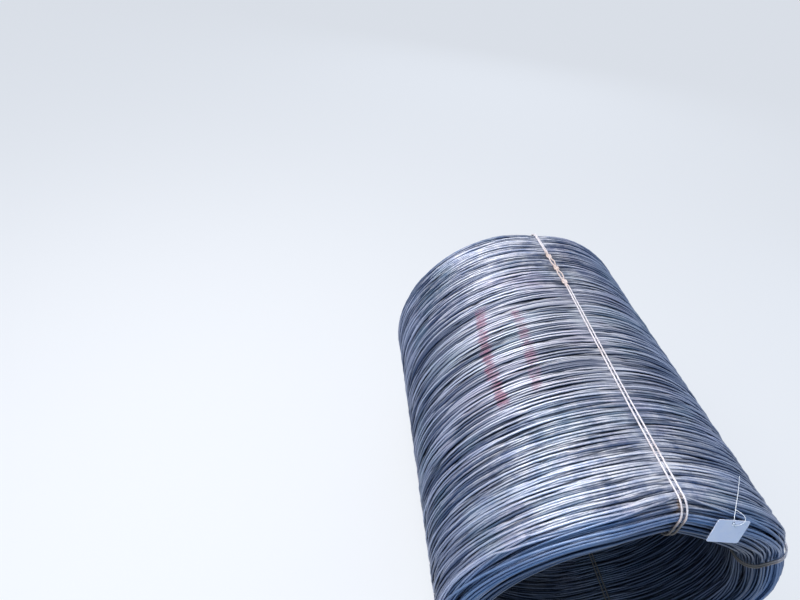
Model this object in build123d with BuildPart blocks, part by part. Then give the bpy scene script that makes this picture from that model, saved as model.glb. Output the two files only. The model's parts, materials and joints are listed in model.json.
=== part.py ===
"""A coil of hot-rolled wire rod, held by four doubled tie wires, with a blank tag.

The coil lies on its side: its axis runs along Y, Z is up and the floor is at Z = 0.
Sizes are in millimetres.
"""
from build123d import *
from math import atan2, cos, degrees, radians, sin, sqrt, tan
import os

# The coil
coil_d = 1200.0             # outside diameter
bore_d = 870.0              # inside diameter
coil_length = 1500.0
shoulder_out = 55.0         # how far the outer turns fall back at each end
shoulder_in = 55.0          # how far the bore turns fall back at each end
layer_count = 5             # layers of turns that show on an end
gap_mouth = 7.0             # width of the gap between two of them at the end of the coil
gap_floor = 20.0            # from the deepest pinch on to the floor of a gap

# Where the ties pull the ends in
pinch_depth = 24.0
pinch_reach = 175.0         # how far a pinch reaches to each side of its tie

# The tie wires, two strands each
tie_d = 6.0
tie_sides = 8               # flats round a strand, few because the runs are long
strands_near = 18.0         # between the two strands at the near end
strands_far = 6.4           # between them at the far end
tie_bite = 3.0              # how far the strands sink into an end
seat_gap = 0.3              # clearance between a tie and its bed
bed_side_gap = 1.0          # clearance beside the strands
tie_angles = {"top": 0, "right": 60, "bottom": 152, "left": 250}

# The twists that close a tie
twist_d = 11.0
twist_length = 25.0
twist_places = {"top": (320, 420, 510), "right": (420,), "bottom": (420,), "left": (420,)}

# The tag
tag_width = 105.0
tag_height = 84.0
tag_thickness = 1.0
tag_corner = 6.0
tag_hole_d = 8.0
tag_hole_edge = 10.0        # from the tag's top edge to the middle of its hole
tag_hole_x = 140.0
tag_hole_z = 1163.5
tag_lean = -7.0             # degrees, its right side lower
tag_tilt = 14.0             # degrees, its lower edge further out than its top
tag_set_back = 6.7          # from the end of the coil to the front of its hole

# The string that holds the tag
string_d = 2.0
knot_d = 9.0
knot_length = 4.0
string_lift = 3.0           # over the turns, between the bends

# Worked out from the sizes above
coil_r = coil_d / 2
bore_r = bore_d / 2
half_length = coil_length / 2
axis_height = coil_r
bed_depth = tie_d + seat_gap
bed_end = half_length - pinch_depth - tie_bite
bed_width = strands_near + tie_d + 2 * bed_side_gap
strand_out = coil_r - tie_d / 2
strand_in = bore_r + tie_d / 2
strand_end = bed_end + seat_gap + tie_d / 2
axis_point = Vector(0, 0, axis_height)
along = Vector(0, 1, 0)


def outwards(angle):
    """Direction from the coil's axis towards a tie, 0 at the top and 90 on the right."""
    return Vector(sin(radians(angle)), 0, cos(radians(angle)))


def end_at(radius):
    """From the middle of the coil to its end face, which falls back at both edges."""
    outer = min(max(0, radius - coil_r + shoulder_out), shoulder_out)
    inner = min(max(0, bore_r + shoulder_in - radius), shoulder_in)
    outer_fall = shoulder_out - sqrt(shoulder_out**2 - outer**2)
    inner_fall = shoulder_in - sqrt(shoulder_in**2 - inner**2)
    return half_length - outer_fall - inner_fall


def end_points():
    """Points of an end from the bore to the outside, with a gap between layers of turns."""
    pitch = (coil_r - bore_r) / layer_count
    floor = half_length - pinch_depth - gap_floor
    points = [(bore_r, end_at(bore_r))]
    for layer in range(1, layer_count):
        middle = bore_r + layer * pitch
        inner = middle - gap_mouth / 2
        outer = middle + gap_mouth / 2
        points += [(inner, end_at(inner)), (middle, floor), (outer, end_at(outer))]
    return points + [(coil_r, end_at(coil_r))]


def tie_plane(angle, offset=0.0, swing=0.0):
    """Plane of a tie: x runs along the coil and y outwards. Swing turns it about y."""
    out = outwards(angle)
    side = along.cross(out)
    x_dir = along + side * tan(radians(swing))
    return Plane(origin=axis_point + side * offset, x_dir=x_dir, z_dir=x_dir.cross(out))


def tie_loop(low, high, end):
    """Closed loop round the wall of the coil, its corners cut along the rounded edges."""
    cut = 1 - tan(radians(22.5))
    inner = cut * (bore_r + shoulder_in - low)
    outer = cut * (high - coil_r + shoulder_out)
    return Polyline(
        (0, low), (end - inner, low), (end, low + inner), (end, high - outer), (end - outer, high),
        (outer - end, high), (-end, high - outer), (-end, low + inner), (inner - end, low), close=True,
    )


def make_tie(name, angle):
    """Two strands round the wall of the coil, joined by the twists that close them."""
    swing = degrees(atan2((strands_far - strands_near) / 2, 2 * strand_end))
    with BuildPart() as tie:
        for side in (-1, 1):
            plane = tie_plane(angle, side * (strands_near + strands_far) / 4, side * swing)
            with BuildLine(plane) as loop:
                tie_loop(strand_in, strand_out, strand_end)
            with BuildSketch(Plane(origin=loop.wire() @ 0, z_dir=loop.wire() % 0)):
                RegularPolygon(tie_d / 2, tie_sides, major_radius=False, rotation=180 / tie_sides)
            sweep(path=loop.wire(), transition=Transition.RIGHT)
        with BuildSketch(tie_plane(angle)):
            with Locations(*[(place, coil_r - twist_d / 2) for place in twist_places[name]]):
                RegularPolygon(twist_d / 2, tie_sides, major_radius=False, rotation=180 / tie_sides)
        extrude(amount=twist_length / 2, both=True)
    tie.part.label = f"tie_wire_{name}"
    return tie.part


# The coil: one turned solid, then the hollows and beds of its ties
with BuildPart() as wire_rod_coil:
    with BuildSketch(Plane.XY.offset(axis_height)):
        with BuildLine():
            Polyline((bore_r, 0), *end_points(), (coil_r, 0), close=True)
        make_face()
        mirror(about=Plane.XZ)
    revolve(axis=Axis(axis_point, along))

    for name, angle in tie_angles.items():
        # The hollows in both ends
        with BuildSketch(Plane(origin=axis_point, x_dir=along, z_dir=outwards(angle))):
            with BuildLine():
                Polyline(
                    (half_length - pinch_depth, 0), (half_length + pinch_depth, 2 * pinch_reach),
                    (half_length + pinch_depth, -2 * pinch_reach), close=True,
                )
            make_face()
            mirror(about=Plane.YZ)
        extrude(amount=coil_d, mode=Mode.SUBTRACT)

        # The bed that lets the strands lie flush, all round the wall
        with BuildSketch(tie_plane(angle)) as bed:
            with Locations((0, (bore_r + coil_r) / 2)):
                Rectangle(2 * coil_length, coil_r - bore_r + 2 * bed_width)
            with BuildLine():
                tie_loop(bore_r + bed_depth, coil_r - bed_depth, bed_end)
            make_face(mode=Mode.SUBTRACT)
        extrude(amount=bed_width / 2, both=True, mode=Mode.SUBTRACT)

        # Pockets for the twists
        with BuildSketch(tie_plane(angle)):
            with Locations(*[(place, coil_r) for place in twist_places[name]]):
                Rectangle(twist_d + 2 * bed_side_gap, 2 * (twist_d + seat_gap))
        extrude(amount=twist_length / 2 + bed_side_gap, both=True, mode=Mode.SUBTRACT)
wire_rod_coil.part.label = "wire_rod_coil"

# The ties
ties = {name: make_tie(name, angle) for name, angle in tie_angles.items()}

# The tag hangs on the rounded edge of the end, in front of the turns
tag_hole = Vector(tag_hole_x, tag_set_back - half_length, tag_hole_z)
tag_out = Vector(0, -cos(radians(tag_tilt)), sin(radians(tag_tilt)))
tag_across = Vector(1, 0, 0).rotate(Axis((0, 0, 0), tag_out), tag_lean)
with BuildPart() as tag:
    with BuildSketch(Plane(tag_hole, x_dir=tag_across, z_dir=tag_out)):
        with Locations((0, tag_hole_edge - tag_height / 2)):
            RectangleRounded(tag_width, tag_height, tag_corner)
        Circle(tag_hole_d / 2, mode=Mode.SUBTRACT)
    extrude(amount=-tag_thickness)
tag.part.label = "tag"

# Its string leaves the outer turns, lies on them, drops over the edge of the end and
# passes through the tag's hole from behind. Points: angle, radius, distance along.
string_start = coil_r + string_d / 2 + seat_gap
string_over = coil_r + string_d / 2 + string_lift
string_points = [(28.6, string_start, -577), (21.4, string_over, -645), (14.5, string_over, -716)]
route = [axis_point + outwards(a) * r + along * y for a, r, y in string_points]
through = tag_hole - route[-1]
knot_out = (seat_gap + knot_length / 2) / through.dot(tag_out)
route.append(tag_hole + through * knot_out)


def string_bend(points):
    """Bend radius that the shortest runs of a route leave room for."""
    radii = []
    for a, b, c in zip(points, points[1:], points[2:]):
        half_turn = radians((b - a).get_angle(c - b)) / 2
        radii.append(0.45 * min((b - a).length, (c - b).length) / tan(half_turn))
    print("string bends, mm:", [round(r, 1) for r in radii])
    return min(radii)


with BuildPart() as tag_string:
    with BuildLine() as string_path:
        FilletPolyline(*route, radius=string_bend(route))
    with BuildSketch(Plane(origin=string_path.wire() @ 0, z_dir=string_path.wire() % 0)):
        Circle(string_d / 2)
    sweep(path=string_path.wire())
    with Locations(Plane(origin=route[-1], z_dir=tag_out)):
        Cylinder(knot_d / 2, knot_length)
tag_string.part.label = "tag_string"

os.makedirs("parts", exist_ok=True)
export_step(wire_rod_coil.part, "parts/wire_rod_coil.step")
for name, tie in ties.items():
    export_step(tie, f"parts/tie_wire_{name}.step")
export_step(tag.part, "parts/tag.step")
export_step(tag_string.part, "parts/tag_string.step")
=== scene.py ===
"""Looks of a coil of wire rod: its real turns, round tie wires, tag and string.

Lengths are in metres and angles in radians. The coil's axis runs along Y at AXIS_HEIGHT.
A place on the coil is an angle from its top, a radius and a distance along its axis.
"""
import json
from math import cos, pi, radians, sin, tau

import bpy
import numpy as np
from mathutils import Matrix, Vector


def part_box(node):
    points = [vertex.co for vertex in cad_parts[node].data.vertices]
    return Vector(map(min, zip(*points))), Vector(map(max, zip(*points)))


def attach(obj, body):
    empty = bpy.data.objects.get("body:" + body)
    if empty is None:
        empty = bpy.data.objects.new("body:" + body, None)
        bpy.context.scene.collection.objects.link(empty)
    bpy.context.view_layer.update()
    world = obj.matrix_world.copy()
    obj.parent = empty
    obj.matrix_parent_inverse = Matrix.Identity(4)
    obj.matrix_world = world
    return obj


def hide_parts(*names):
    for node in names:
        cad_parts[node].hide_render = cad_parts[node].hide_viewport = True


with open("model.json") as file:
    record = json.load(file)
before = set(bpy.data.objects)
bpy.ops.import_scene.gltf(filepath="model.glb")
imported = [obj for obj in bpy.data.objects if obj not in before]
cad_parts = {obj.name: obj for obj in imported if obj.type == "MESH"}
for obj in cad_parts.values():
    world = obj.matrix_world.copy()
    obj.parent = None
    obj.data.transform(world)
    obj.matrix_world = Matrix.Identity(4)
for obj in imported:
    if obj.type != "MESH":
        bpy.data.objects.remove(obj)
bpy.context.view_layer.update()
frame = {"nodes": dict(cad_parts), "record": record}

# The coil, read from the frame
low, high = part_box("wire_rod_coil")
COIL_R = (high[0] - low[0]) / 2
AXIS_HEIGHT = COIL_R
HALF_LENGTH = (high[1] - low[1]) / 2
BORE_R = frame["record"]["mounts"][0]["dims"]["r_mm"] / 1000
SHOULDER_OUT = 0.055        # the outer turns fall back this far at each end
SHOULDER_IN = 0.055         # and the turns round the bore this far
PINCH_DEPTH = 0.0275        # how far a tie pulls in the ends
PINCH_REACH = 0.175         # to each side of the tie
PINCH_SOFTNESS = 0.02       # rounds the pinch off where it starts

# The rod and its turns
ROD_D = 0.008
TURNS = 1600
STATIONS = 72               # places round a turn
TUBE_SIDES = 6
PIECES = 7                  # the turns are split between this many meshes
CENTRE_R = (COIL_R + BORE_R) / 2
OFFSET = (COIL_R - BORE_R - ROD_D) / 2  # a turn reaches both faces of the wall
OFFSET_SPREAD = 0.003       # or falls short by about this much
TURN_STEP = 0.137           # part of a circle from one turn's offset to the next one's
TURN_STEP_SPREAD = 0.035
CROWDING = 0.12             # the turns lie closer together towards the ends
END_MARGIN = 0.008          # from the middle of the last turn to the end
FACE_TURNS = 42             # the last turns at each end lie side by side on its face
FACE_BLEND = 6              # turns that lie partly so
FACE_LAP = 20               # turns from the outside to the bore there
FACE_STRAY = 0.012          # how far off centre they lie
SKIN = 0.034                # turns deeper than this aren't made
END_SKIN = 0.075            # the same at the ends, which are more open

# How the turns settle
ROUNDS = 70
GENTLE_ROUNDS = 8           # the last rounds, with less stiffness
GENTLE = 0.4
CLOSEST = ROD_D * 1.03      # rods whose middles are nearer than this push each other away
STRONGEST_PUSH = 4          # times the distance between them
SHARED = 0.3                # part of each neighbour's move that a place on the rod takes on
SHARINGS = 2                # times a round
NEIGHBOURS = 15             # rods further along on which a rod may push
CLEARANCE = 0.0003          # from a turn to the coil's outside and to its bore

# The ties: their angle from the top, and where along them their twists are
TIES = {
    "top": (0, (0.32, 0.42, 0.51)),
    "right": (radians(60), (0.42,)),
    "bottom": (radians(152), (0.42,)),
    "left": (radians(250), (0.42,)),
}
TIE_D = 0.006
WIRE_SIDES = 8              # of a strand, a wire end and the knot
TIE_CLEARANCE = 0.0005      # from a tie to the ends of the coil
BITE_REACH = radians(4.5)   # the turns give way this far to each side of a tie
STRANDS_NEAR = 0.017        # between a tie's two strands at the near end
STRANDS_FAR = 0.0064
STRANDS_OPEN = 0.017        # between them, halfway between two twists
OPEN_REACH = 0.025          # how far along the tie that opening reaches
TWIST_D = 0.012
TWIST_LENGTH = 0.026
TWIST_TURNS = 1.5
RUN_POINTS = 60             # along a strand's outer run
BORE_POINTS = 40            # along its run in the bore
BEND_POINTS = 9             # round each bend
TWIST_POINTS = 33           # added at a twist
TWIST_REACH = 0.02          # this far to each side of it

# The ends of wire that leave a twist
END_REACH = 0.008           # they go this far along the tie,
END_BEND = 0.0038           # turn round with this radius,
END_BESIDE = 0.0055         # this far beside the twist,
END_BACK = 0.010            # and come back this far
END_TIP = 0.9               # where their tips lie in the bend's width
END_DEPTHS = (0.0055, 0.0040)  # under the coil's outside, at their start and at their tip

# How far the top tie strays from its plane, from the near end to the far end
STRAY = ((-0.73, 0.0), (-0.35, 0.0), (0.03, 0.006), (0.29, 0.010), (0.43, 0.005), (0.73, -0.012))

# Rust on the ties: how strong it is at a twist, and the depths where the dark rust and painted shade
# of their runs over the ends and through the bore start and are full
TWIST_RUST = 0.45
RUST_SHADE_START = 0.020
RUST_SHADE_FULL = 0.065

# The tag's string: its places on the coil, by angle from the top in degrees, radius and
# distance along the axis, then the middle of its knot and its loop as points in the frame
STRING_D = 0.002
STRING_PLACES = ((28.6, 0.6013, -0.577), (21.4, 0.604, -0.645), (14.5, 0.604, -0.716))
STRING_END = (0.1388, -0.7462, 1.1612)
STRING_LOOP = (
    (0.151, -0.714, 1.1835), (0.166, -0.729, 1.1865), (0.172, -0.745, 1.176),
    (0.160, -0.7485, 1.162), (0.147, -0.7475, 1.1585), STRING_END,
)
KNOT_SIZE = 0.00115         # a third of the knot's reach to each side
KNOT_POINTS = 60
TAG_TILT = radians(14)      # the tag's lower edge hangs further out than its top

# The string's two ends, from the middle of the knot: across, down and out
STRING_TAILS = (
    ((0.0055, 0.005, 0.001), (0.011, 0.0036, 0.0005), (0.0143, 0.006, -0.0004)),
    ((0.004, 0.005, 0.001), (0.008, 0.0084, 0.0005), (0.0104, 0.014, -0.0004)),
)

# Paint strokes: middle angle in degrees and its place, bend in degrees, ends, width, strength
STROKES = (
    (-39.4, -0.07, 32.0, -0.250, 0.250, 0.042, 0.76),
    (-23.5, 0.08, -31.0, -0.235, 0.180, 0.036, 0.60),
)
STROKE_SOFT = (0.024, 0.006)        # past its sides: where a stroke starts and where it is full
STROKE_ENDS_SOFT = (0.010, 0.045)   # along from each of its ends: between these it fades
STROKE_UNEVEN = 0.020       # how far its sides are moved in by noise
STROKE_STEP = 0.012         # and from turn to turn
STROKE_ENDS_UNEVEN = 0.05
PAINT_UNDER = (0.03, 0.02)  # depth under the coil's outside where paint starts and is full

# Colours of the rod
SCALE_DARK = (0.022, 0.048, 0.120)
SCALE_LIGHT = (0.40, 0.46, 0.63)
SCALE_PATCH = (0.31, 0.34, 0.48)
# Pale dust, also laid on more thickly in the middle as painted light
DUST_AND_LIGHT = (0.83, 0.81, 0.82)
MAUVE = (0.36, 0.27, 0.41)
TEAL = (0.15, 0.28, 0.34)
# Painted shade: the right side's darker blue
RIGHT_SIDE_SHADE = (0.10, 0.165, 0.32)
# Bare blue scale on the ends, with a painted reflection of the blue sky
END_SKY_BLUE = (0.085, 0.182, 0.37)
PAINT = (0.27, 0.095, 0.15)
STAIN = (0.36, 0.26, 0.19)
# Near-black painted shade, for turns that lie deep and for the bore
PAINTED_SHADE = (0.010, 0.020, 0.043)
# Near-black painted shade on the solid within the wall
WALL_SHADE = ((0.006, 0.009, 0.016), (0.02, 0.026, 0.04))

# Where the rod's colours change: where a change starts and where it is full
# The pale coat is stronger in the middle as painted light, and thinner to the right as painted shade
PAINTED_LIGHT_FROM_MIDDLE = (0.50, 0.15)     # along the axis, from the middle of the coil
DUST_SHADE_RIGHT = (0.02, 0.34)           # to the right of the axis, like the next two
# To the right the mauve thins and the side turns darker blue, as painted shade
MAUVE_SHADE_RIGHT = (0.10, 0.40)
SHADE_RIGHT = (0.04, 0.36)
# The ends' blue: bare scale and a painted reflection of the sky
SKY_BLUE_FROM_END = (0.06, 0.02)        # along the axis, from either end
# Painted shade: on turns under the outer layer away from the ends, and on those towards the bore
SUNK_SHADE_FROM_END = (0.05, 0.10)
SUNK_SHADE_UNDER = (0.005, 0.015)         # under the coil's outside
BORE_SHADE_FROM_CENTRE = (0.04, -0.05)  # outwards from the middle of the wall
STAIN_BESIDE = (0.011, 0.005)       # to each side of the top tie
STAIN_FROM_END = (0.10, 0.06)       # along the axis, from the near end

# Colours of the ties, the tag and the string
WIRE_PALE = ((0.80, 0.76, 0.79), (0.60, 0.55, 0.57))
WIRE_TAN = (0.68, 0.53, 0.46)
# Light rust, and the dark brown painted shade of the runs over the ends and in the bore
RUST_AND_SHADE = ((0.42, 0.30, 0.24), (0.085, 0.070, 0.055))
TAG_WHITE = ((0.84, 0.86, 1.0), (0.90, 0.90, 1.0))
TAG_SMUDGE = (0.42, 0.47, 0.62)
TWINE = ((0.62, 0.66, 0.72), (0.86, 0.88, 0.90))

# The photograph's camera
CAMERA_SPOT = (-1.0074, -1.4011, 2.4469)
CAMERA_YAW = radians(10.68)
CAMERA_DOWN = radians(38.24)
CAMERA_ROLL = radians(8.43)
FOCAL_PIXELS = 530
PHOTO_PIXELS = 800          # across the picture

# What is round the object: background, floor and lamps
PALE = (0.70, 0.73, 0.775, 1)
SKY_LOW = (0.05, 0.10, 0.22, 1)
SKY_HIGH = (0.42, 0.62, 1.0, 1)
SKY_STRENGTH = 0.46
FLOOR = (0.32, 0.32, 0.33, 1)           # as it lights the object
FLOOR_SEEN = (0.21, 0.21, 0.215, 1)     # how much of the light and shadow on it shows
FLOOR_GLOW = (0.665, 0.69, 0.725, 1)
FLOOR_SIZE = 240

# Lamps: name, place, size, power and colour
LAMPS = (
    ("key", (-2.2, 0.2, 4.1), 2.6, 198, (1.0, 0.97, 0.94)),
    ("front", (-1.6, -4.5, 3.0), 3.0, 80, (0.57, 0.79, 1.0)),
    ("right", (4.4, 0.8, 1.4), 2.0, 15, (0.62, 0.80, 1.0)),
    ("back", (1.8, 7.8, 4.2), 5.0, 100, (0.80, 0.89, 1.0)),
)


def place(angle, radius, along):
    """Points in the frame from angle, radius and distance along the axis."""
    return np.stack([radius * np.sin(angle), along, AXIS_HEIGHT + radius * np.cos(angle)], -1)


def from_tie(angle, tie):
    """Signed angle from a tie."""
    return (angle - tie + pi) % tau - pi


def across_tie(tie):
    """Direction across a tie, along the coil's surface."""
    return np.array((cos(tie), 0, -sin(tie)))


def lump(along, twist):
    """1 at a twist and 0 away from it."""
    return np.exp(-(((along - twist) / TWIST_LENGTH) ** 4))


def pinch(angle, radius):
    """How far the ends are pulled in: most at a tie, almost nothing well away from it."""
    to_tie = np.min([np.abs(from_tie(angle, tie)) for tie, _ in TIES.values()], axis=0)
    share = 1 - radius * np.sin(np.minimum(to_tie, pi / 2)) / PINCH_REACH
    return PINCH_DEPTH * 0.5 * (share + np.sqrt(share**2 + PINCH_SOFTNESS))


def bite(angle, along):
    """How far the outer turns give way under the ties and their twists."""
    depth = 0
    for tie, twists in TIES.values():
        lumps = sum(lump(along, twist) for twist in twists)
        beside = np.exp(-((from_tie(angle, tie) / BITE_REACH) ** 4))
        depth = depth + beside * (TIE_D + (TWIST_D - TIE_D) * lumps)
    return depth


def fall(reach, shoulder):
    """Drop of a rounded edge at this distance past its start."""
    reach = np.clip(reach, 0, shoulder)
    return shoulder - np.sqrt(shoulder**2 - reach**2)


def end_at(angle, radius):
    """Furthest that the surface of a turn may lie along the axis."""
    sink = bite(angle, HALF_LENGTH)
    outer = fall(radius + ROD_D / 2 + sink - COIL_R + SHOULDER_OUT, SHOULDER_OUT)
    inner = fall(BORE_R + SHOULDER_IN - radius + ROD_D / 2 + sink, SHOULDER_IN)
    return HALF_LENGTH - outer - inner - pinch(angle, radius)


def wound_turns(random):
    """Loose turns as they are laid: off centre, and each with another offset."""
    # Where each turn's middle lies, off the axis
    steps = tau * (TURN_STEP + TURN_STEP_SPREAD * random.standard_normal(TURNS + 1))
    heading = np.cumsum(steps)
    offset = OFFSET - OFFSET_SPREAD * np.abs(random.standard_normal(TURNS + 1))
    across = offset * np.cos(heading)
    up = offset * np.sin(heading)

    # Along a turn it moves on smoothly to the next one's
    count = np.arange(TURNS * STATIONS) / STATIONS
    turn = count.astype(int)
    blend = count - turn
    blend = blend**2 * (3 - 2 * blend)
    across = across[turn] * (1 - blend) + across[turn + 1] * blend
    up = up[turn] * (1 - blend) + up[turn + 1] * blend
    angle = tau * count
    radius = CENTRE_R + across * np.sin(angle) + up * np.cos(angle)

    # On the faces the turns go back and forth between the outside and the bore
    left = np.minimum(count, TURNS - count)
    on_face = np.clip((FACE_TURNS - left) / FACE_BLEND, 0, 1)
    lap = 2 * np.abs((left / FACE_LAP) % 2 - 1) - 1
    face = CENTRE_R + lap * (OFFSET - FACE_STRAY / 2) + (radius - CENTRE_R) * FACE_STRAY / OFFSET
    radius = radius + on_face * (face - radius)

    # Along the axis they follow each other, and the pinches towards the ends
    share = 2 * count / TURNS - 1
    share = share + CROWDING * share * (1 - share**2)
    pulled_in = np.sign(share) * np.abs(share) ** 3 * pinch(angle, radius)
    along = share * (HALF_LENGTH - END_MARGIN) - pulled_in
    shape = (TURNS, STATIONS)
    return [values.reshape(shape).T.copy() for values in (angle % tau, radius, along)]


def push_apart(radius, along):
    """Moves rods that lie too close away from each other, in each station's plane."""
    order = np.argsort(along, axis=1)
    r = np.take_along_axis(radius, order, 1)
    y = np.take_along_axis(along, order, 1)
    move_r = np.zeros_like(r)
    move_y = np.zeros_like(y)
    for step in range(1, NEIGHBOURS + 1):
        dy = y[:, step:] - y[:, :-step]
        dr = r[:, step:] - r[:, :-step]
        distance = np.sqrt(dy**2 + dr**2) + 1e-9
        push = 0.5 * np.clip(CLOSEST / distance - 1, 0, STRONGEST_PUSH)
        move_y[:, step:] += dy * push
        move_y[:, :-step] -= dy * push
        move_r[:, step:] += dr * push
        move_r[:, :-step] -= dr * push
    np.put_along_axis(radius, order, r + move_r, 1)
    np.put_along_axis(along, order, y + move_y, 1)


def stiffen(move):
    """Evens out a displacement along the rod, as its stiffness does."""
    line = move.T.reshape(-1)
    for _ in range(SHARINGS):
        line[1:-1] = (1 - 2 * SHARED) * line[1:-1] + SHARED * (line[:-2] + line[2:])
    return line.reshape(TURNS, STATIONS).T


def settle(angle, radius, along):
    """Lets the turns settle until they lie on each other without running through."""
    radius_laid, along_laid = radius.copy(), along.copy()
    edge = ROD_D / 2 + CLEARANCE
    for number in range(ROUNDS):
        push_apart(radius, along)
        share = 1.0 if number < ROUNDS - GENTLE_ROUNDS else GENTLE
        radius += share * (radius_laid + stiffen(radius - radius_laid) - radius)
        along += share * (along_laid + stiffen(along - along_laid) - along)
        np.minimum(radius, COIL_R - edge - bite(angle, along), out=radius)
        np.maximum(radius, BORE_R + edge + bite(angle, HALF_LENGTH), out=radius)
        limit = end_at(angle, radius) - ROD_D / 2
        np.clip(along, -limit, limit, out=along)


def mesh_object(name, points, faces, smooth=True):
    """A mesh object from an array of points and a list of faces."""
    mesh = bpy.data.meshes.new(name)
    mesh.from_pydata(points.tolist(), [], faces)
    if smooth:
        mesh.shade_smooth()
    item = bpy.data.objects.new(name, mesh)
    bpy.context.collection.objects.link(item)
    return item


def add_attribute(mesh, name, values):
    """One number for each point, for the material to read."""
    mesh.attributes.new(name, "FLOAT", "POINT").data.foreach_set("value", values.astype(np.float32))


def rod_tubes(name, angle, radius, along, shown, tone):
    """Tubes along the stretches of rod that show."""
    # A station is used where the one before or after it shows too
    joined = shown[:-1] & shown[1:]
    used = np.zeros(len(angle), bool)
    used[:-1] |= joined
    used[1:] |= joined
    number = np.cumsum(used) - 1
    side = np.arange(TUBE_SIDES) * tau / TUBE_SIDES
    ring_radius = radius[used, None] + ROD_D / 2 * np.cos(side)
    ring_along = along[used, None] + ROD_D / 2 * np.sin(side)
    points = place(angle[used, None], ring_radius, ring_along).reshape(-1, 3)
    corner = number[:-1][joined][:, None] * TUBE_SIDES + np.arange(TUBE_SIDES)
    after = np.roll(corner, -1, 1)
    faces = np.stack([corner, after, after + TUBE_SIDES, corner + TUBE_SIDES], -1).reshape(-1, 4)
    item = mesh_object(name, points, faces.tolist())
    add_attribute(item.data, "tone", np.repeat(tone[used], TUBE_SIDES))
    return item


def make_turns():
    """The turns that show, as a few meshes, from one end of the coil to the other."""
    random = np.random.default_rng(4)
    angle, radius, along = wound_turns(random)
    settle(angle, radius, along)
    outside = (radius > COIL_R - SKIN) | (radius < BORE_R + SKIN)
    shown = outside | (np.abs(along) > end_at(angle, radius) - END_SKIN)
    tone = np.repeat(random.random(TURNS), STATIONS)
    lines = [values.T.reshape(-1) for values in (angle, radius, along, shown)] + [tone]
    items = []
    edges = np.linspace(0, TURNS * STATIONS, PIECES + 1).astype(int)
    for number, (start, stop) in enumerate(zip(edges, edges[1:])):
        part = [line[start:stop + 1] for line in lines]
        items.append(rod_tubes(f"rod_turns_{number + 1}", *part))
    return items


def make_core():
    """What lies too far in to be made turn by turn: a solid within the wall, painted near-black as
    shade.
    """
    inner, outer = BORE_R + SKIN - ROD_D, COIL_R - SKIN + ROD_D
    angle = np.arange(STATIONS) * tau / STATIONS
    corners = []
    for radius, side in ((inner, -1), (outer, -1), (outer, 1), (inner, 1)):
        along = side * (end_at(angle, radius) - END_SKIN + ROD_D)
        corners.append(place(angle, radius, along))
    points = np.stack(corners, 1).reshape(-1, 3)
    number = np.arange(STATIONS * 4).reshape(STATIONS, 4)
    after = np.roll(number, -1, 0)
    faces = np.stack([number, np.roll(number, -1, 1), np.roll(after, -1, 1), after], -1)
    return mesh_object("inner_turns", points, faces.reshape(-1, 4).tolist(), smooth=False)


def tube(name, points, radius, closed=False):
    """A round tube along points, whose section is carried along without a twist."""
    points = np.asarray(points)
    if closed:
        ahead = np.roll(points, -1, 0) - np.roll(points, 1, 0)
    else:
        ahead = np.gradient(points, axis=0)
    ahead /= np.linalg.norm(ahead, axis=1, keepdims=True)
    across = np.cross(ahead[0], (1.0, 0.3, 0.2))
    turn = np.arange(WIRE_SIDES) * tau / WIRE_SIDES
    rings = []
    for point, direction in zip(points, ahead):
        across = across - direction * across.dot(direction)
        across /= np.linalg.norm(across)
        upright = np.cross(direction, across)
        section = np.outer(np.cos(turn), across) + np.outer(np.sin(turn), upright)
        rings.append(point + radius * section)
    number = np.arange(len(points) * WIRE_SIDES).reshape(-1, WIRE_SIDES)
    if closed:
        # The last ring joins the first where their corners lie nearest to each other
        first, last = rings[0] - points[0], rings[-1] - points[-1]
        match = [np.abs(np.roll(last, shift, 0) - first).sum() for shift in range(WIRE_SIDES)]
        number = np.vstack([number, np.roll(number[0], -int(np.argmin(match)))])
    ring, after = number[:-1], number[1:]
    faces = np.stack([ring, np.roll(ring, -1, 1), np.roll(after, -1, 1), after], -1)
    faces = faces.reshape(-1, 4).tolist()
    if not closed:
        faces += [number[0][::-1].tolist(), number[-1].tolist()]
    return mesh_object(name, np.concatenate(rings), faces)


def between_strands(along, twists):
    """Half the distance between a tie's two strands at places along its outer run."""
    share = (along + HALF_LENGTH) / (2 * HALF_LENGTH)
    half = (STRANDS_NEAR + (STRANDS_FAR - STRANDS_NEAR) * share) / 2
    for before, after in zip(twists, twists[1:]):
        opening = np.exp(-(((along - (before + after) / 2) / OPEN_REACH) ** 2))
        half = half + (STRANDS_OPEN - STRANDS_FAR) / 2 * opening
    for twist in twists:
        near = lump(along, twist)
        half = half * (1 - near) + TIE_D / 2 * near
    return half


def outer_run(reach, twists, side):
    """A strand's run along the outside: places along it, their radius and sideways offset."""
    steps = [np.linspace(-reach, reach, RUN_POINTS)]
    steps += [twist + np.linspace(-TWIST_REACH, TWIST_REACH, TWIST_POINTS) for twist in twists]
    along = np.unique(np.concatenate(steps))
    lumps = sum(lump(along, twist) for twist in twists)
    wound = sum(np.clip((along - twist) / TWIST_LENGTH + 0.5, 0, 1) for twist in twists)
    spin = tau * TWIST_TURNS * wound
    half = between_strands(along, twists) * side
    lift = half * np.sin(spin) * np.clip(lumps, 0, 1)
    radius = COIL_R - TIE_D / 2 - (TWIST_D - TIE_D) / 2 * lumps + lift
    return along, radius, half * np.cos(spin)


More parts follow.
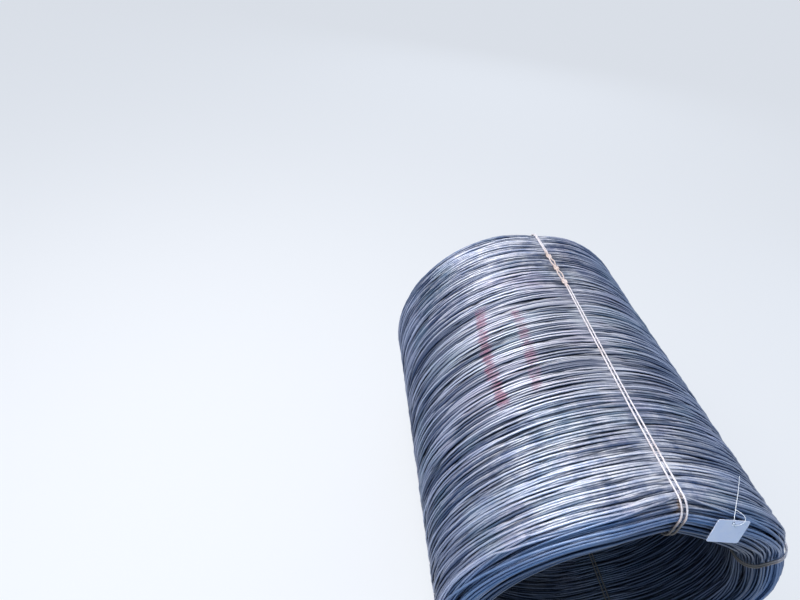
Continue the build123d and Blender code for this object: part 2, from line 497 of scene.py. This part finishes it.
def strand_points(tie, twists, side, stray):
    """Closed line of one strand of a tie, round the wall of the coil."""
    sink = TIE_D / 2
    flat_end = HALF_LENGTH - PINCH_DEPTH + TIE_CLEARANCE + sink
    outside = outer_run(flat_end - SHOULDER_OUT + sink, twists, side)
    near_beside, far_beside = outside[2][0], outside[2][-1]

    # Over the far end: a bend, a flat and a bend
    round_out, round_in = SHOULDER_OUT - sink, SHOULDER_IN - sink
    out_r, in_r = COIL_R - SHOULDER_OUT, BORE_R + SHOULDER_IN
    edge = flat_end - round_out
    turn = np.linspace(0, pi / 2, BEND_POINTS)[1:-1]
    back = turn[::-1]
    end_y = [edge + round_out * np.sin(turn), [flat_end] * 2, edge + round_in * np.sin(back)]
    end_r = [out_r + round_out * np.cos(turn), [out_r, in_r], in_r - round_in * np.cos(back)]
    end_y, end_r = np.concatenate(end_y), np.concatenate(end_r)
    level = np.ones(len(end_y))

    # Back through the bore, and over the near end
    inner_y = np.linspace(edge, -edge, BORE_POINTS)
    inner_r = np.full(len(inner_y), BORE_R + sink)
    inner_beside = np.linspace(far_beside, near_beside, len(inner_y))
    runs = (
        outside, (end_y, end_r, far_beside * level), (inner_y, inner_r, inner_beside),
        (-end_y[::-1], end_r[::-1], near_beside * level),
    )
    along, radius, beside = [np.concatenate(parts) for parts in zip(*runs)]
    if stray:
        share_outside = np.clip((radius - in_r) / (out_r - in_r), 0, 1)
        beside = beside + np.interp(along, *zip(*STRAY)) * share_outside
    return place(tie, radius, along) + beside[:, None] * across_tie(tie)


def mark_rust_and_shade(item, twists):
    """Marks where a tie's wire is rusty, at its twists, and where it is rusty and painted dark as
    shade, on the ends and in the bore.
    """
    points = np.empty(len(item.data.vertices) * 3)
    item.data.vertices.foreach_get("co", points)
    x, y, z = points.reshape(-1, 3).T
    depth = COIL_R - np.hypot(x, z - AXIS_HEIGHT)
    near_twist = sum(np.exp(-(((y - twist) / (2 * TWIST_LENGTH)) ** 2)) for twist in twists)
    deep_shade = np.clip((depth - RUST_SHADE_START) / (RUST_SHADE_FULL - RUST_SHADE_START), 0, 1)
    add_attribute(item.data, "rust_and_shade", np.maximum(TWIST_RUST * np.clip(near_twist, 0, 1), deep_shade))


def wire_ends(name, tie, twist):
    """The two ends of wire that leave a twist, each bent back to lie beside it."""
    pieces = []
    turn = np.linspace(0, pi, BEND_POINTS)
    for number, side in enumerate((-1, 1)):
        beside = np.append(END_BESIDE - END_BEND * np.cos(turn), END_BESIDE + END_BEND * END_TIP)
        along = np.append(END_REACH + END_BEND * np.sin(turn), -END_BACK)
        radius = COIL_R - np.linspace(*END_DEPTHS, len(along))
        line = place(tie, radius, twist + side * along)
        line = line + side * beside[:, None] * across_tie(tie)
        pieces.append(tube(f"{name}_{number + 1}", line, TIE_D / 2))
    return pieces


def make_ties():
    """Each tie's two strands, and the ends of wire at its twists."""
    made = {}
    for name, (tie, twists) in TIES.items():
        pieces = []
        for number, side in enumerate((-1, 1)):
            points = strand_points(tie, twists, side, name == "top")
            pieces.append(tube(f"tie_{name}_strand_{number + 1}", points, TIE_D / 2, closed=True))
        for number, twist in enumerate(twists):
            shift = np.interp(twist, *zip(*STRAY)) if name == "top" else 0
            pieces += wire_ends(f"tie_{name}_end_{number + 1}", tie + shift / COIL_R, twist)
        for item in pieces:
            mark_rust_and_shade(item, twists)
        made[name] = pieces
    return made


def string_curve(name, points):
    """A stretch of string along a smooth curve through its own control points."""
    data = bpy.data.curves.new(name, "CURVE")
    data.dimensions = "3D"
    data.bevel_depth = STRING_D / 2
    data.bevel_resolution = 3
    data.use_fill_caps = True
    spline = data.splines.new("NURBS")
    spline.points.add(len(points) - 1)
    for target, point in zip(spline.points, points):
        target.co = (*point, 1)
    spline.order_u = 3
    spline.use_endpoint_u = True
    spline.resolution_u = 12
    item = bpy.data.objects.new(name, data)
    bpy.context.collection.objects.link(item)
    return item


def make_string():
    """The tag's string, the knot in front of the tag, its two ends and its loop."""
    route = [place(radians(turn), radius, along).tolist() for turn, radius, along in STRING_PLACES]
    route.append(STRING_END)
    string = string_curve("string", route)

    # A knot of three loops, in front of the tag
    middle = np.array(STRING_END)
    down = (0, -sin(TAG_TILT), -cos(TAG_TILT))
    out = (0, -cos(TAG_TILT), sin(TAG_TILT))
    axes = np.array(((1, 0, 0), down, out))
    turn = np.arange(KNOT_POINTS) * tau / KNOT_POINTS
    reach = 2 + np.cos(3 * turn)
    loops = np.stack([reach * np.cos(2 * turn), reach * np.sin(2 * turn), np.sin(3 * turn)], -1)
    knot_line = middle + KNOT_SIZE * loops @ axes
    pieces = [tube("string_knot", knot_line, STRING_D / 2, closed=True)]

    # Its two ends and its loop
    for number, tail in enumerate(STRING_TAILS):
        points = [middle, *(middle + np.array(tail) @ axes)]
        pieces.append(string_curve(f"string_end_{number + 1}", points))
    pieces.append(string_curve("string_loop", STRING_LOOP))
    return string, pieces


class Finish:
    """A node material under construction."""

    def __init__(self, name, roughness=0.5, metallic=0.0, specular=0.5):
        self.material = bpy.data.materials.new(name)
        self.material.use_nodes = True
        self.tree = self.material.node_tree
        self.shader = self.tree.nodes["Principled BSDF"]
        self.shader.inputs["Roughness"].default_value = roughness
        self.shader.inputs["Metallic"].default_value = metallic
        self.shader.inputs["Specular IOR Level"].default_value = specular
        self.place = self.node("TexCoord").outputs["Object"]

    def node(self, kind, **settings):
        """A new node with its settings."""
        item = self.tree.nodes.new("ShaderNode" + kind)
        for key, value in settings.items():
            setattr(item, key, value)
        return item

    def feed(self, socket, value):
        """Sets a socket to a number or colour, or links it to an output."""
        if isinstance(value, bpy.types.NodeSocket):
            self.tree.links.new(value, socket)
        else:
            socket.default_value = value

    def attribute(self, name):
        """The numbers that a mesh carries under this name."""
        return self.node("Attribute", attribute_name=name).outputs["Fac"]

    def split(self, vector):
        """The three parts of a vector."""
        item = self.node("SeparateXYZ")
        self.feed(item.inputs[0], vector)
        return [item.outputs[axis] for axis in "XYZ"]

    def noise(self, scale, detail=3.0, roughness=0.5, shift=None):
        """Noise from 0 to 1, shifted where another pattern is wanted at a like scale."""
        item = self.node("TexNoise")
        item.inputs["Scale"].default_value = scale
        item.inputs["Detail"].default_value = detail
        item.inputs["Roughness"].default_value = roughness
        where = self.place
        if shift:
            moved = self.node("Mapping")
            moved.inputs["Location"].default_value = shift
            self.feed(moved.inputs["Vector"], where)
            where = moved.outputs["Vector"]
        self.feed(item.inputs["Vector"], where)
        return item.outputs["Fac"]

    def span(self, value, start, stop, low=0.0, high=1.0):
        """Maps a value smoothly from one range to another, and holds it there."""
        item = self.node("MapRange", interpolation_type="SMOOTHSTEP")
        numbers = (value, start, stop, low, high)
        for socket, number in zip(("Value", "From Min", "From Max", "To Min", "To Max"), numbers):
            self.feed(item.inputs[socket], number)
        return item.outputs["Result"]

    def math(self, operation, first, second=0.0):
        """One step of arithmetic."""
        item = self.node("Math", operation=operation)
        self.feed(item.inputs[0], first)
        self.feed(item.inputs[1], second)
        return item.outputs[0]

    def product(self, total, *others):
        """Several values multiplied."""
        for other in others:
            total = self.math("MULTIPLY", total, other)
        return total

    def mix(self, share, first, second):
        """The first colour, with a share of the second."""
        item = self.node("Mix", data_type="RGBA")
        self.feed(item.inputs["Factor"], share)
        for socket, colour in (("A", first), ("B", second)):
            self.feed(item.inputs[socket], (*colour, 1) if isinstance(colour, tuple) else colour)
        return item.outputs["Result"]

    def colour(self, value):
        """Sets the shader's colour."""
        self.feed(self.shader.inputs["Base Color"], value)

    def rough(self, value):
        """Sets the shader's roughness."""
        self.feed(self.shader.inputs["Roughness"], value)

    def bump(self, height, strength, distance):
        """Gives the shader fine relief."""
        item = self.node("Bump")
        item.inputs["Strength"].default_value = strength
        item.inputs["Distance"].default_value = distance
        self.feed(item.inputs["Height"], height)
        self.feed(self.shader.inputs["Normal"], item.outputs["Normal"])


def stroke_share(finish, stroke, angle, along, tone):
    """Where one paint stroke lies: a bent band with uneven edges."""
    middle, at, bend, start, stop, width, strength = stroke
    past = finish.math("SUBTRACT", along, at)
    centre = finish.math("ADD", finish.product(past, past, radians(bend)), radians(middle))
    off = finish.math("ABSOLUTE", finish.math("SUBTRACT", angle, centre))
    uneven = finish.product(finish.noise(45, 3), STROKE_UNEVEN)
    uneven = finish.math("ADD", uneven, finish.product(tone, STROKE_STEP))
    off = finish.math("ADD", finish.product(off, COIL_R), uneven)
    band = finish.span(off, *[width / 2 + soft for soft in STROKE_SOFT])
    ends = finish.math("ADD", along, finish.product(finish.noise(70, 2), STROKE_ENDS_UNEVEN))
    begun = finish.span(ends, *[start + soft for soft in STROKE_ENDS_SOFT])
    ended = finish.span(ends, *[stop + soft for soft in reversed(STROKE_ENDS_SOFT)])
    worn = finish.span(finish.noise(26, 5, 0.7), 0.34, 0.64, 0.25, 1.0)
    return finish.product(band, begun, ended, worn, strength)


def paint_share(finish, x, along, z, radius, tone):
    """Where paint lies: in the strokes, on what faces outwards in the outer turns."""
    angle = finish.math("ARCTAN2", x, z)
    radial = finish.node("CombineXYZ")
    finish.feed(radial.inputs["X"], x)
    finish.feed(radial.inputs["Z"], z)
    outward = finish.node("VectorMath", operation="DOT_PRODUCT")
    finish.feed(outward.inputs[0], finish.node("NewGeometry").outputs["Normal"])
    finish.feed(outward.inputs[1], radial.outputs[0])
    facing_out = finish.span(outward.outputs["Value"], -0.1 * COIL_R, 0.4 * COIL_R)
    outer_turns = finish.span(radius, *[COIL_R - depth for depth in PAINT_UNDER])
    paint = 0.0
    for stroke in STROKES:
        paint = finish.math("MAXIMUM", stroke_share(finish, stroke, angle, along, tone), paint)
    return finish.product(paint, facing_out, outer_turns)


def rod_material():
    """Hot-rolled rod: blue-grey mill scale, a pale dusty coat on top that is also painted light,
    faint tints, two paint strokes, bluer ends with a painted sky reflection, and painted shade on the
    right, under the outer turns and in the bore.
    """
    finish = Finish("rod_scale", roughness=0.4, metallic=0.32, specular=0.34)
    tone = finish.attribute("tone")
    x, y, z = finish.split(finish.place)
    z = finish.math("SUBTRACT", z, AXIS_HEIGHT)
    radius = finish.math("SQRT", finish.math("ADD", finish.product(x, x), finish.product(z, z)))
    from_middle = finish.math("ABSOLUTE", y)
    from_end = finish.math("SUBTRACT", HALF_LENGTH, from_middle)

    # Each turn has its own tone of scale, and the darkest stay clean
    colour = finish.mix(finish.product(tone, tone), SCALE_DARK, SCALE_LIGHT)
    lighter = finish.span(tone, 0.0, 0.75, 0.06, 1.0)
    patches = finish.span(finish.noise(7, 5, 0.65), 0.35, 0.68, 0.0, 0.45)
    colour = finish.mix(finish.product(patches, lighter), colour, SCALE_PATCH)

    # Dust lies on top; the pale coat is also painted light, stronger in the middle, and thins on the
    # right side as painted shade
    facing = finish.split(finish.node("NewGeometry").outputs["Normal"])
    top = finish.span(facing[2], 0.15, 0.95)
    dust_and_light_film = finish.span(finish.noise(18, 6, 0.7), 0.30, 0.66)
    dust_and_light_film = finish.math("MAXIMUM", dust_and_light_film, finish.span(from_middle, *PAINTED_LIGHT_FROM_MIDDLE, 0.0, 0.8))
    dust_and_light_film = finish.product(dust_and_light_film, finish.span(x, *DUST_SHADE_RIGHT, 1.0, 0.35))
    dust_and_light = finish.product(top, dust_and_light_film, finish.span(tone, 0.0, 0.75, 0.22, 0.82))
    colour = finish.mix(dust_and_light, colour, DUST_AND_LIGHT)

    # Tints; the mauve thins on the right and the right side is painted darker blue, both as painted
    # shade
    mauve = finish.span(finish.noise(3.1, 4, 0.6), 0.48, 0.70, 0.0, 0.5)
    mauve = finish.product(mauve, top, lighter, finish.span(x, *MAUVE_SHADE_RIGHT, 1.0, 0.3))
    colour = finish.mix(mauve, colour, MAUVE)
    # Painted shade: the right side turns darker blue
    colour = finish.mix(finish.span(x, *SHADE_RIGHT, 0.0, 0.4), colour, RIGHT_SIDE_SHADE)
    teal = finish.noise(4.3, 4, shift=(3.7, 1.9, 5.1))
    colour = finish.mix(finish.span(teal, 0.50, 0.70, 0.0, 0.22), colour, TEAL)

    colour = finish.mix(paint_share(finish, x, y, z, radius, tone), colour, PAINT)

    # Rust between the top tie's strands, where it bends round the near end
    stain = finish.product(
        finish.span(finish.math("ABSOLUTE", x), *STAIN_BESIDE),
        finish.span(y, *[reach - HALF_LENGTH for reach in STAIN_FROM_END]),
        finish.span(z, 0.0, BORE_R),
    )
    colour = finish.mix(finish.product(stain, 0.85), colour, STAIN)

    # The ends are bluer, as bare scale with a painted reflection of the blue sky; what lies deep or
    # in the bore is darker, as painted shade
    colour = finish.mix(finish.span(from_end, *SKY_BLUE_FROM_END, 0.0, 0.7), colour, END_SKY_BLUE)
    # Painted shade: turns under the outer layer, away from the ends, and those towards the bore turn
    # near-black
    sunk_shade = finish.product(
        finish.span(radius, *[COIL_R - depth for depth in SUNK_SHADE_UNDER], 0.0, 0.85),
        finish.span(from_end, *SUNK_SHADE_FROM_END), finish.math("SUBTRACT", 1.0, stain),
    )
    bore_shade = finish.span(radius, *[CENTRE_R + out for out in BORE_SHADE_FROM_CENTRE], 0.0, 0.74)
    finish.colour(finish.mix(finish.math("MAXIMUM", bore_shade, sunk_shade), colour, PAINTED_SHADE))

    worn = finish.span(finish.noise(40, 4), 0.3, 0.7, 0.29, 0.43)
    finish.rough(finish.math("ADD", worn, finish.product(dust_and_light, 0.2)))
    finish.bump(finish.noise(420, 4, 0.6), 0.25, 0.0004)
    return finish.material


def wall_shade_material():
    """Painted shade on the solid within the wall: near-black."""
    finish = Finish("deep_turns_shade", roughness=0.9, specular=0.1)
    finish.colour(finish.mix(finish.noise(60, 3), *WALL_SHADE))
    return finish.material


def tie_material():
    """Pale, dry wire, lightly rusty, more so at the twists, and painted dark brown as shade on the
    ends and in the bore.
    """
    finish = Finish("tie_scale", roughness=0.42, metallic=0.1)
    marked = finish.attribute("rust_and_shade")
    spots = finish.span(finish.noise(9, 6, 0.7), 0.46, 0.76, 0.0, 0.6)
    # Painted shade: the runs over the ends and in the bore turn dark brown
    deep_shade = finish.span(marked, 0.5, 1.0)
    rust_and_shade = finish.math("MAXIMUM", spots, deep_shade)
    mottled = finish.span(finish.noise(60, 4, 0.6), 0.3, 0.7, 0.35, 1.0)
    tan = finish.product(finish.span(marked, 0.0, 0.45), mottled)
    fine = finish.span(finish.noise(160, 4, 0.6), 0.35, 0.7)
    light = finish.mix(tan, finish.mix(fine, *WIRE_PALE), WIRE_TAN)
    finish.colour(finish.mix(finish.product(rust_and_shade, 0.9), light, finish.mix(deep_shade, *RUST_AND_SHADE)))
    finish.rough(finish.span(rust_and_shade, 0, 1, 0.36, 0.6))
    finish.bump(finish.noise(500, 3), 0.2, 0.0003)
    return finish.material


def tag_material():
    """Matt plastic sheet, bluish white, blank."""
    finish = Finish("tag_sheet", roughness=0.5)
    cloud = finish.span(finish.noise(25, 4, 0.6), 0.3, 0.7)
    smudge = finish.span(finish.noise(90, 5, 0.7), 0.58, 0.75, 0.0, 0.25)
    finish.colour(finish.mix(smudge, finish.mix(cloud, *TAG_WHITE), TAG_SMUDGE))
    finish.bump(finish.noise(30, 3), 0.3, 0.001)
    return finish.material


def string_material():
    """White twine with its strands in the bump."""
    finish = Finish("twine", roughness=0.8)
    wave = finish.node("TexWave", bands_direction="DIAGONAL")
    wave.inputs["Scale"].default_value = 220
    wave.inputs["Distortion"].default_value = 2
    finish.feed(wave.inputs["Vector"], finish.place)
    finish.colour(finish.mix(wave.outputs["Fac"], *TWINE))
    finish.bump(wave.outputs["Fac"], 0.5, 0.0004)
    return finish.material


def aim_camera():
    """The photograph's camera."""
    flat = Vector((sin(CAMERA_YAW), cos(CAMERA_YAW), 0))
    ahead = flat * cos(CAMERA_DOWN) - Vector((0, 0, sin(CAMERA_DOWN)))
    level = Vector((cos(CAMERA_YAW), -sin(CAMERA_YAW), 0))
    upright = level.cross(ahead)
    right = cos(CAMERA_ROLL) * level + sin(CAMERA_ROLL) * upright
    above = cos(CAMERA_ROLL) * upright - sin(CAMERA_ROLL) * level
    data = bpy.data.cameras.new("camera")
    data.sensor_width = 36
    data.lens = data.sensor_width * FOCAL_PIXELS / PHOTO_PIXELS
    data.clip_end = 300
    camera = bpy.data.objects.new("camera", data)
    bpy.context.collection.objects.link(camera)
    turn = Matrix((right, above, -ahead)).transposed()
    camera.matrix_world = Matrix.Translation(CAMERA_SPOT) @ turn.to_4x4()
    bpy.context.scene.camera = camera


def show_and_light(tree, output, shown, lighting):
    """Has the camera see one shader, directly and in reflections, and another light the object."""
    nodes, links = tree.nodes, tree.links
    path = nodes.new("ShaderNodeLightPath")
    seen = path.outputs["Is Camera Ray"]
    for name in ("Is Glossy Ray", "Is Transmission Ray"):
        either = nodes.new("ShaderNodeMath")
        either.operation = "MAXIMUM"
        links.new(seen, either.inputs[0])
        links.new(path.outputs[name], either.inputs[1])
        seen = either.outputs[0]
    choose = nodes.new("ShaderNodeMixShader")
    links.new(seen, choose.inputs[0])
    links.new(lighting.outputs[0], choose.inputs[1])
    links.new(shown.outputs[0], choose.inputs[2])
    links.new(choose.outputs[0], nodes[output].inputs["Surface"])


def coloured(tree, kind, colour):
    """A new shader node of one colour."""
    item = tree.nodes.new(kind)
    item.inputs["Color"].default_value = colour
    return item


def make_world():
    """A soft sky, brighter overhead, and a plain pale background where it is seen."""
    world = bpy.data.worlds.new("dome")
    world.use_nodes = True
    tree = world.node_tree
    nodes, links = tree.nodes, tree.links
    where = nodes.new("ShaderNodeTexCoord")
    split = nodes.new("ShaderNodeSeparateXYZ")
    links.new(where.outputs["Generated"], split.inputs[0])
    ramp = nodes.new("ShaderNodeValToRGB")
    for element, colour, position in zip(ramp.color_ramp.elements, (SKY_LOW, SKY_HIGH), (0.05, 0.95)):
        element.color = colour
        element.position = position
    links.new(split.outputs["Z"], ramp.inputs["Fac"])
    sky = nodes["Background"]
    links.new(ramp.outputs["Color"], sky.inputs["Color"])
    sky.inputs["Strength"].default_value = SKY_STRENGTH
    plain = coloured(tree, "ShaderNodeBackground", PALE)
    show_and_light(tree, "World Output", plain, sky)
    bpy.context.scene.world = world


def make_floor():
    """A plain pale floor that keeps the object's shadow."""
    bpy.ops.mesh.primitive_plane_add(size=FLOOR_SIZE, location=(0, 0, 0))
    floor = bpy.context.object
    floor.name = "floor"
    material = bpy.data.materials.new("floor")
    material.use_nodes = True
    tree = material.node_tree
    tree.nodes.remove(tree.nodes["Principled BSDF"])
    lighting = coloured(tree, "ShaderNodeBsdfDiffuse", FLOOR)
    faint = coloured(tree, "ShaderNodeBsdfDiffuse", FLOOR_SEEN)
    glow = coloured(tree, "ShaderNodeEmission", FLOOR_GLOW)
    shown = tree.nodes.new("ShaderNodeAddShader")
    tree.links.new(faint.outputs[0], shown.inputs[0])
    tree.links.new(glow.outputs[0], shown.inputs[1])
    show_and_light(tree, "Material Output", shown, lighting)
    floor.data.materials.append(material)


def make_lights():
    """One large soft light overhead, and weak ones in front, on the right and behind."""
    middle = Vector((0, 0, AXIS_HEIGHT))
    for name, spot, size, power, colour in LAMPS:
        data = bpy.data.lights.new(name, "AREA")
        data.size = size
        data.energy = power
        data.color = colour
        item = bpy.data.objects.new(name, data)
        item.location = spot
        item.rotation_euler = (middle - Vector(spot)).to_track_quat("-Z", "Y").to_euler()
        bpy.context.collection.objects.link(item)


def dress(items, material, node):
    """Gives pieces their material and body, and hides the CAD part that they replace."""
    for item in items:
        item.data.materials.clear()
        item.data.materials.append(material)
        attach(item, "root")
        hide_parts(node)


bpy.context.scene.view_settings.view_transform = "Standard"
aim_camera()
string, string_parts = make_string()
dress([string] + string_parts, string_material(), "tag_string")
dress(make_turns(), rod_material(), "wire_rod_coil")
dress([make_core()], wall_shade_material(), "wire_rod_coil")
wire = tie_material()
for name, pieces in make_ties().items():
    dress(pieces, wire, f"tie_wire_{name}")
tag = frame["nodes"]["tag"]
tag.data.materials.clear()
tag.data.materials.append(tag_material())
make_world()
make_floor()
make_lights()
